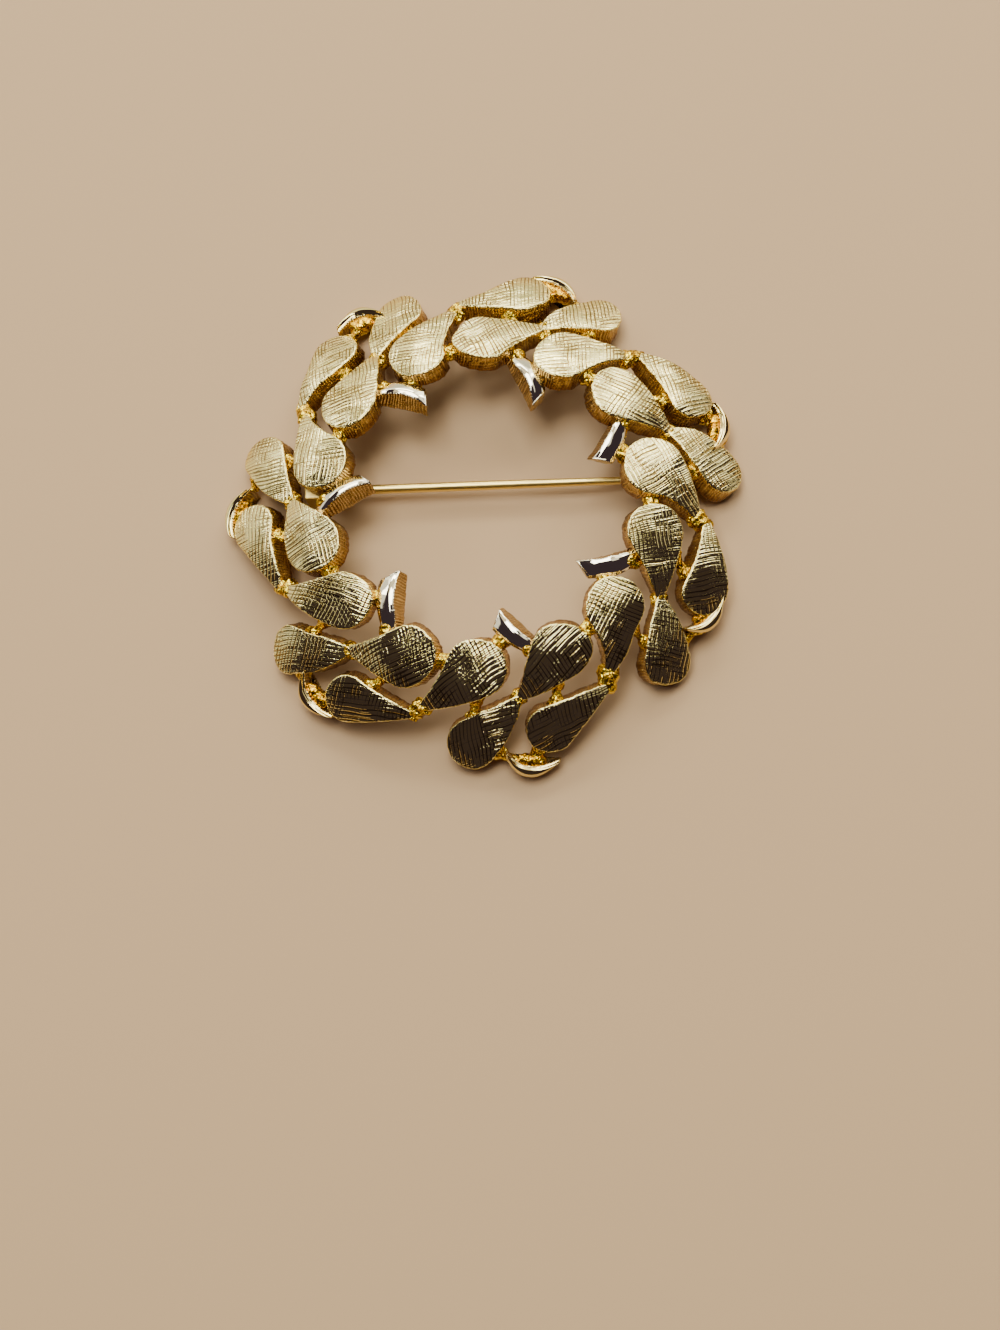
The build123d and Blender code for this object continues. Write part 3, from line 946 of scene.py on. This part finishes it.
def inner_bar_form(setting, number):
    """Blade, hollow on one side and swelling to a slanted free end on the other."""
    start = dome_point(moved(INNER_BAR_BASE, setting.root_turn))
    end = dome_point(moved(INNER_BAR_END, setting.end_turn))
    along = (end - start).normalized()
    upright = squared(Vector((0, 0, 1)), along)
    left_way = upright.cross(along)
    lean = radians(INNER_BAR_LEAN)
    up = upright * cos(lean) + left_way * sin(lean)
    length = (end - start).length
    half = INNER_BAR_W / 2
    count = round(length / sizes().grid)
    crest = (INNER_BAR_CREST[0] * length, INNER_BAR_CREST[1] * half)
    left = three_point_arc(
        (-half, INNER_BAR_ROOT * half), crest, (INNER_BAR_SLANT * length, half), count)
    hollow = (length / 2, -INNER_BAR_HOLLOW * half)
    right = three_point_arc((-half, -half), hollow, (length, -half), count)
    matrix = spray_turn(number) @ seat(start, along, up)
    face = bar_crown(length / 2, INNER_BAR_CROWN_R, sizes().bar_fall)
    return slab(left, right, face, INNER_BAR_T, matrix, BAR_COLUMNS)


def rim_seat(setting, number):
    """Where an outer bar sits and how it leans out with the dome."""
    place = moved(OUTER_BAR_MIDDLE, setting.rim_turn, setting.rim_out)
    middle = dome_point(place)
    heading = radians(FIRST_SPRAY - place.turn * STEP - 90 - OUTER_BAR_TURN)
    ahead = Vector((cos(heading), sin(heading), 0))
    up = (middle - DOME_CENTRE).normalized()
    return spray_turn(number) @ seat(middle, squared(ahead, up), up)


def outer_bar_form(setting, number):
    """Crescent that stands on the floor, hollowed on the side of the leaves."""
    half = OUTER_BAR_L / 2
    near, far = -OUTER_BAR_W / 2, OUTER_BAR_W / 2
    corner = near - OUTER_BAR_BOW
    count = round(OUTER_BAR_L / sizes().grid)
    right = three_point_arc((-half, corner), (0, near + CUP_HOLLOW), (half, corner), count)
    ends = corner + OUTER_BAR_END_W
    left = three_point_arc((-half, ends), (0, far), (half, ends), count)
    face = bar_crown(0, OUTER_BAR_CROWN_R, sizes().rim_bar_fall)
    return slab(left, right, face, TO_FLOOR, rim_seat(setting, number), BAR_COLUMNS,
                sizes().rim_bar_side)


def cup_form(setting, number):
    """Solder that fills the hollow between an outer bar and its leaves."""
    matrix = rim_seat(setting, number)
    inside = -OUTER_BAR_W / 2 + CUP_INSET
    start, end = (matrix @ Vector((side * CUP_L / 2, inside, -CUP_DEPTH)) for side in (-1, 1))
    return rod(start, end, [CUP_R * (1 - CUP_TAPER * (2 * t - 1)**4) for t in shares(CUP_STEPS)])


class BROOCH_OT_bars(Operator):
    """Makes the polished inner and outer bars, as they were set by hand"""

    bl_idname = "brooch.bars"
    bl_label = "Bars"

    def execute(self, context):
        makes = (
            ("inner_bars", inner_bar_form, "Polished bar", colours().polished, 0.22),
            ("outer_bars", outer_bar_form, "Polished outer bar", colours().rim_bar, 0.38),
        )
        for name, form, finish, face, wall_rough in makes:
            # The bars take a quarter of the grime and painted shade at their walls' feet
            gold = plating(
                finish, face, colours().bar_wall, face_rough=0.06, wall_rough=wall_rough,
                filed=0.9, grime_and_shade=0.25)
            forms = [form(setting, number) for number, setting in enumerate(SETTINGS)]
            cast(mesh_object(name, forms), gold, 1, dent=0.35, relief=0.8)
        return {"FINISHED"}


def tie_form(first, last, first_r, last_r, matrix=Matrix.Identity(4)):
    """Runner between two places that spreads where it meets the walls at both ends."""
    start, end = matrix @ dome_point(first, TIE_DEPTH), matrix @ dome_point(last, TIE_DEPTH)
    length = (end - start).length
    radii = []
    for t in shares(TIE_STEPS):
        near = min(abs(length * t - first_r), abs(length * (1 - t) - last_r))
        radii.append(TIE_R * (TIE_WAIST + TIE_FLARE * exp(-(near / sizes().web_spread)**2)))
    return rod(start, end, radii)


def soldered(name, forms, gold, count, relief):
    """Piece in which the forms have run together like solder."""
    piece = mesh_object(name, forms)
    join = piece.modifiers.new("Run together", "REMESH")
    join.mode = "VOXEL"
    join.voxel_size = sizes().solder_grid
    soften = piece.modifiers.new("Soften", "SMOOTH")
    soften.factor = SOFTEN_FACTOR
    soften.iterations = SOFTEN_ROUNDS
    settle(piece)
    label(piece.data, "wall", 1.0)
    cast(piece, gold, count, dent=0.0, relief=relief)


class BROOCH_OT_ties(Operator):
    """Makes the solder: webs between the leaves and bars, and cups in the outer bars"""

    bl_idname = "brooch.ties"
    bl_label = "Solder"

    def execute(self, context):
        # The cups' deeper orange adds a painted glow of reflected gold to the solder's own colour
        gold, glow = (
            plating(name, colour, colour, face_rough=rough, wall_rough=rough,
                    grain=0.03 * MM, filed=0.0)
            for name, colour, rough in (
                ("Solder gold", colours().solder, 0.22), ("Cup gold", colours().cup_and_glow, 0.24)))
        inner_r, outer_r = INNER_LEAF_W / 2, OUTER_LEAF_W / 2
        forms = [
            tie_form(INNER_A, OUTER_A, inner_r, outer_r),
            tie_form(INNER_B, OUTER_B, inner_r, outer_r),
            tie_form(LAST_INNER_B, INNER_A, inner_r, inner_r),
            tie_form(LAST_MEETING, OUTER_A_TIP, LEAF_TIP_R, LEAF_TIP_R),
        ]
        forms += [lump(dome_point(place, depth), r, LUMP_FLAT) for place, depth, r in LUMPS]
        soldered("leaf_webs", forms, gold, SPRAYS, relief=1.6)

        forms = []
        for number, setting in enumerate(SETTINGS):
            root = moved(INNER_BAR_BASE, setting.root_turn)
            tip = moved(INNER_BAR_END, setting.end_turn)
            rim = moved(OUTER_BAR_MIDDLE, setting.rim_turn, setting.rim_out)
            hold = Place(*((a + b) / 2 for a, b in zip(root, tip)))
            turn = spray_turn(number)
            forms.append(tie_form(hold, INNER_B, INNER_BAR_W / 2, inner_r, turn))
            forms.append(tie_form(OUTER_A, rim, outer_r, OUTER_BAR_W / 2, turn))
            forms.append(tie_form(OUTER_B, rim, outer_r, OUTER_BAR_W / 2, turn))
            forms.append(lump(turn @ dome_point(root, ROOT_LUMP_DEPTH), ROOT_LUMP_R))
        soldered("bar_webs", forms, gold, 1, relief=1.6)

        forms = [cup_form(setting, number) for number, setting in enumerate(SETTINGS)]
        soldered("rim_cups", forms, glow, 1, relief=1.0)
        return {"FINISHED"}


def block(low, high, edge):
    """Box between two corners with rounded edges."""
    bm = bmesh.new()
    bmesh.ops.create_cube(bm, size=1.0)
    low, high = Vector(low), Vector(high)
    for vert in bm.verts:
        vert.co = Vector(low[k] + (high[k] - low[k]) * (vert.co[k] + 0.5) for k in range(3))
    bmesh.ops.bevel(bm, geom=bm.edges[:], offset=edge, segments=3, affect="EDGES", profile=0.5)
    return bm


def pad_top(x):
    return dome_height(hypot(x, HINGE.y)) - LEAF_T / 2


def ear_form(middle):
    """Upright ear with a round end below, a hole for the rivet and a flat top in the pad."""
    near, far = middle - EAR_T / 2, middle + EAR_T / 2
    rings = []
    for i in range(EAR_STEPS):
        c, s = cos(tau * i / EAR_STEPS), sin(tau * i / EAR_STEPS)
        x, z = HINGE.x + EAR_R * c, HINGE.z + EAR_R * s
        if EAR_R * s > WELD:
            z = PAD_UNDERSIDE + EAR_ROOT
        hole_x, hole_z = HINGE.x + RIVET_R * c, HINGE.z + RIVET_R * s
        rings.append([(x, near, z), (hole_x, near, hole_z), (hole_x, far, hole_z), (x, far, z)])
    return wrapped(rings)


def fitting(name, forms, gold, body, slot, node):
    """One piece of the hinge, the catch or the pin."""
    piece = mesh_object(name, forms)
    piece.data.materials.append(gold)
    finish_piece(piece, body, slot, node)
    return piece


class BROOCH_OT_fittings(Operator):
    """Makes the hinge bracket and the catch that are soldered to the back"""

    bl_idname = "brooch.fittings"
    bl_label = "Hinge bracket and catch"

    def execute(self, context):
        gold = plain_gold("Fitting gold", rough=0.44, grain=0.02 * MM)
        half_w = EARS_W / 2 + PAD_SIDE
        low = (HINGE.x - EAR_R, HINGE.y - half_w, PAD_UNDERSIDE)
        high = (HINGE.x + PAD_L / 2, HINGE.y + half_w, pad_top(HINGE.x) - PAD_HIDDEN)
        pad = block(low, high, PAD_EDGE)
        for vert in pad.verts:
            if vert.co.z > (low[2] + high[2]) / 2:
                vert.co.z -= PAD_SLOPE * (high[1] - vert.co.y)
        forms = [pad]
        forms += [ear_form(HINGE.y + hand * (EAR_GAP + EAR_T) / 2) for hand in (-1, 1)]
        bracket = fitting("hinge_bracket", forms, gold, "wreath", "gold_plate", "wreath")
        bracket.data.shade_flat()

        half_slot = CATCH_STEM_R + CATCH_CLEARANCE
        half_w = half_slot + CATCH_PRONG_T
        seat_z = HINGE.z + CATCH_STEM_R + CATCH_SEAT_GAP
        foot, root = HINGE.z - CATCH_PRONG_DROP, seat_z + CATCH_PRONG_ROOT
        near, far = CATCH_X - CATCH_L / 2, CATCH_X + CATCH_L / 2
        low = (near, HINGE.y - half_w, seat_z)
        forms = [block(low, (far, HINGE.y + half_w, pad_top(CATCH_X)), CATCH_EDGE)]
        for hand in (-1, 1):
            y0, y1 = sorted((HINGE.y + hand * half_slot, HINGE.y + hand * half_w))
            forms.append(block((near, y0, foot), (far, y1, root), CATCH_EDGE))
        fitting("catch", forms, gold, "wreath", "gold_plate", "wreath")
        return {"FINISHED"}


def quarter(x, y, radius, angles):
    """Points of a rounded corner round x, y, with angles in degrees from the Y axis."""
    return [(x + radius * sin(radians(a)), y + radius * cos(radians(a))) for a in angles]


class BROOCH_OT_pin(Operator):
    """Makes the pin stem with its eye, and the rivet that it turns on"""

    bl_idname = "brooch.pin"
    bl_label = "Pin"

    def execute(self, context):
        gold = plain_gold("Pin gold", rough=0.32, grain=0.006 * MM)
        shaft_end = CATCH_X + CATCH_L / 2
        straight_end = STRAIGHT_START + STRAIGHT_L
        taper = (STEM_R - CATCH_STEM_R) / (CATCH_X - straight_end)
        end_r = CATCH_STEM_R - taper * CATCH_L / 2
        stations = [(ROOT_X, ROOT_R), (STRAIGHT_START, STEM_R), (straight_end, STEM_R)]
        stations += [(shaft_end, end_r), (STEM_BOX[1].x, POINT_R)]
        profile = [(ROOT_X, 0.0)]
        for (x0, r0), (x1, r1) in zip(stations, stations[1:]):
            steps = max(2, round((x1 - x0) / WIRE_STEP))
            profile += [(x0 + (x1 - x0) * t, r0 + (r1 - r0) * t) for t in shares(steps)[:-1]]
        profile += [(STEM_BOX[1].x, POINT_R), (STEM_BOX[1].x, 0.0)]
        axis = Vector((0, HINGE.y, HINGE.z))
        wire = turned(profile, axis, Vector((1, 0, 0)), WIRE_SIDES)
        hole_r = RIVET_R + RUNNING_CLEARANCE
        half, corner = EYE_W / 2, EYE_R - EYE_EDGE
        ring = quarter(half - EYE_EDGE, corner, EYE_EDGE, (90, 60, 30, 0))
        ring += quarter(EYE_EDGE - half, corner, EYE_EDGE, (0, -30, -60, -90))
        ring += [(-half, hole_r), (half, hole_r)]
        eye = turned(ring, HINGE, Vector((0, 1, 0)), EYE_SIDES)
        fitting("pin_wire", [wire, eye], gold, "pin", "gold_pin", "pin_stem")

        half = (RIVET_BOX[1].y - RIVET_BOX[0].y) / 2
        turns = [radians(a) for a in range(0, 91, 15)]
        end = [(half - RIVET_DOME + RIVET_DOME * sin(a), RIVET_R * cos(a)) for a in turns]
        profile = [(-x, r) for x, r in reversed(end)] + end
        rivet = turned(profile, HINGE, Vector((0, 1, 0)), WIRE_SIDES)
        fitting("rivet", [rivet], gold, "wreath", "gold_pin", "hinge_rivet")
        return {"FINISHED"}


def softbox(name, place, width, height, radiance, tone):
    """Soft rectangular light that looks at the brooch."""
    light = bpy.data.lights.new(name, "AREA")
    light.shape = "RECTANGLE"
    light.size = width
    light.size_y = height
    light.energy = radiance * pi * width * height
    light.color = tone
    lamp = bpy.data.objects.new(name, light)
    lamp.location = place
    lamp.rotation_euler = (-Vector(place)).to_track_quat("-Z", "Y").to_euler()
    bpy.context.scene.collection.objects.link(lamp)


class BROOCH_OT_stage(Operator):
    """Makes the floor, the lights and the camera"""

    bl_idname = "brooch.stage"
    bl_label = "Stage"

    def execute(self, context):
        sheet = bmesh.new()
        bmesh.ops.create_grid(sheet, x_segments=1, y_segments=1, size=FLOOR_HALF)
        floor = mesh_object("floor", [sheet])
        paper, shader = new_material("Floor")
        shader.inputs["Base Color"].default_value = (*colours().floor, 1)
        shader.inputs["Roughness"].default_value = FLOOR_ROUGH
        floor.data.materials.append(paper)

        world = bpy.data.worlds.new("Dim room")
        world.use_nodes = True
        backdrop = world.node_tree.nodes["Background"]
        backdrop.inputs["Color"].default_value = (*ROOM_COLOUR, 1)
        backdrop.inputs["Strength"].default_value = ROOM_STRENGTH
        context.scene.world = world
        for lamp in LAMPS:
            softbox(*lamp)

        camera = bpy.data.cameras.new("Camera")
        camera.lens = CAMERA_LENS
        camera.sensor_fit = "HORIZONTAL"
        camera.clip_start = CAMERA_NEAR
        azimuth, elevation = radians(CAMERA_AZIMUTH), radians(CAMERA_ELEVATION)
        roll, level = radians(CAMERA_ROLL), cos(elevation)
        back = Vector((sin(azimuth) * level, -cos(azimuth) * level, sin(elevation)))
        right = Vector((cos(azimuth), sin(azimuth), 0))
        right = right * cos(roll) + back.cross(right) * sin(roll)
        eye = bpy.data.objects.new("Camera", camera)
        eye.matrix_world = seat(CAMERA_TARGET + back * CAMERA_DISTANCE, right, back)
        context.scene.collection.objects.link(eye)
        context.scene.camera = eye
        return {"FINISHED"}


class BROOCH_PT_panel(Panel):
    bl_idname = "BROOCH_PT_panel"
    bl_label = "Wreath brooch"
    bl_space_type = "VIEW_3D"
    bl_region_type = "UI"
    bl_category = "Brooch"

    def draw(self, context):
        for maker in MAKERS:
            self.layout.operator(maker.bl_idname)
        for settings in (sizes(), colours()):
            for name in settings.__annotations__:
                self.layout.prop(settings, name)


MAKERS = (
    BROOCH_OT_stage, BROOCH_OT_leaves, BROOCH_OT_bars, BROOCH_OT_ties, BROOCH_OT_fittings,
    BROOCH_OT_pin,
)
CLASSES = (BroochSizes, BroochColours, *MAKERS, BROOCH_PT_panel)


def register():
    for kind in CLASSES:
        bpy.utils.register_class(kind)
    bpy.types.Scene.brooch_sizes = PointerProperty(type=BroochSizes)
    bpy.types.Scene.brooch_colours = PointerProperty(type=BroochColours)


def unregister():
    del bpy.types.Scene.brooch_colours
    del bpy.types.Scene.brooch_sizes
    for kind in reversed(CLASSES):
        bpy.utils.unregister_class(kind)


def main():
    register()
    bpy.ops.brooch.stage()
    bpy.ops.brooch.leaves()
    bpy.ops.brooch.bars()
    bpy.ops.brooch.ties()
    bpy.ops.brooch.fittings()
    bpy.ops.brooch.pin()


if __name__ == "__main__":
    main()
